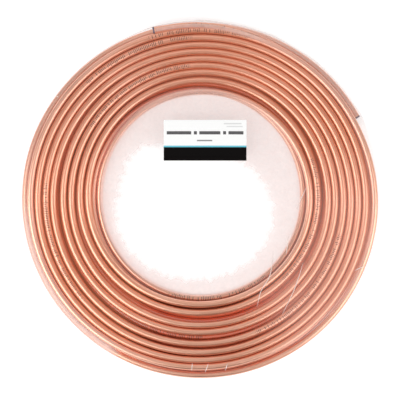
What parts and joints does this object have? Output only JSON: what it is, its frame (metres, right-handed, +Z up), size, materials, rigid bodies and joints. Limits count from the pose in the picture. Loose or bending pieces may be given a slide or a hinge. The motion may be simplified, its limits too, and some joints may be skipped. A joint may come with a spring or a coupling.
{
  "type": "copper tube coil",
  "caption": "Flat coil of soft copper tube wound in two layers, with plugged ends on its rim, sealed in clear shrink film with a plain paper label over its bore.",
  "frame": {"origin": "foot of the coil's axis, on the floor", "axes": "+Z up along the coil's axis; +Y towards the label's top edge and the picture's top; +X to the picture's right"},
  "size_m": [0.5248, 0.5276, 0.0204],
  "materials": {
    "copper": "bright drawn soft copper",
    "plug_plastic": "dark blue moulded polyethylene",
    "film": "clear shrink film",
    "label_paper": "coated label paper"
  },
  "bodies": {
    "root": {"copper_tube": "copper", "upper_end_plug": "plug_plastic", "lower_end_plug": "plug_plastic", "shrink_film": "film", "label": "label_paper"}
  },
  "joints": []
}
